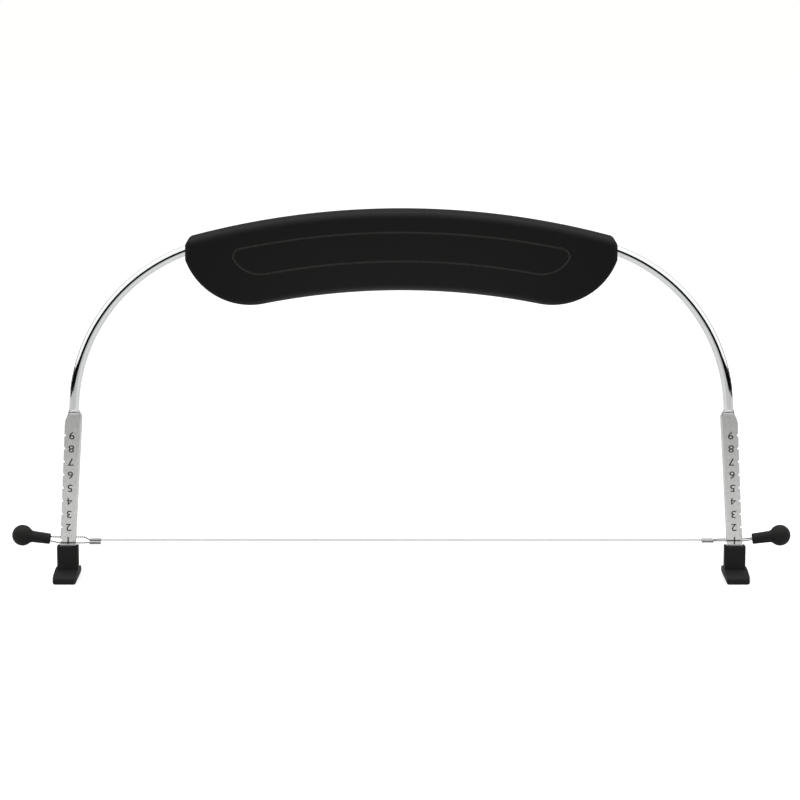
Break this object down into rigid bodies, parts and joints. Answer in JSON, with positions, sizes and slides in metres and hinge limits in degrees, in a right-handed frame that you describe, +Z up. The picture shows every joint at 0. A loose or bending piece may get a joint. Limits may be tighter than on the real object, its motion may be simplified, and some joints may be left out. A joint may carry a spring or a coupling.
{
  "type": "cake leveler",
  "caption": "Bent rod bow with an arched two-shell grip, notched flat legs on long soles, and a taut cutting wire with ball knobs that moves up and down between the legs.",
  "frame": {"origin": "on the table, midway between the two feet", "axes": "+X to the right along the cutting wire, +Y to the back, +Z up through the middle of the grip"},
  "size_m": [0.3042, 0.022, 0.1448],
  "materials": {
    "bow_steel": "bright plated rod, satin pressed legs",
    "grip_plastic": "fine matte moulded black plastic",
    "foot_rubber": "matte black rubber",
    "wire_steel": "twisted stainless wire",
    "ferrule_metal": "crimped satin metal sleeve",
    "knob_rubber": "matte black rubber"
  },
  "bodies": {
    "frame": {"bow_frame": "bow_steel", "handle_front": "grip_plastic", "handle_rear": "grip_plastic", "left_foot": "foot_rubber", "right_foot": "foot_rubber"},
    "wire_set": {"cutting_wire": "wire_steel", "left_ferrule": "ferrule_metal", "right_ferrule": "ferrule_metal", "left_wire_eye": "wire_steel", "right_wire_eye": "wire_steel", "left_knob": "knob_rubber", "right_knob": "knob_rubber"}
  },
  "joints": [
    {"name": "wire_height", "type": "slide", "parent": "frame", "child": "wire_set", "axis": [0, 0, 1], "range_m": [0, 0.0416]}
  ]
}
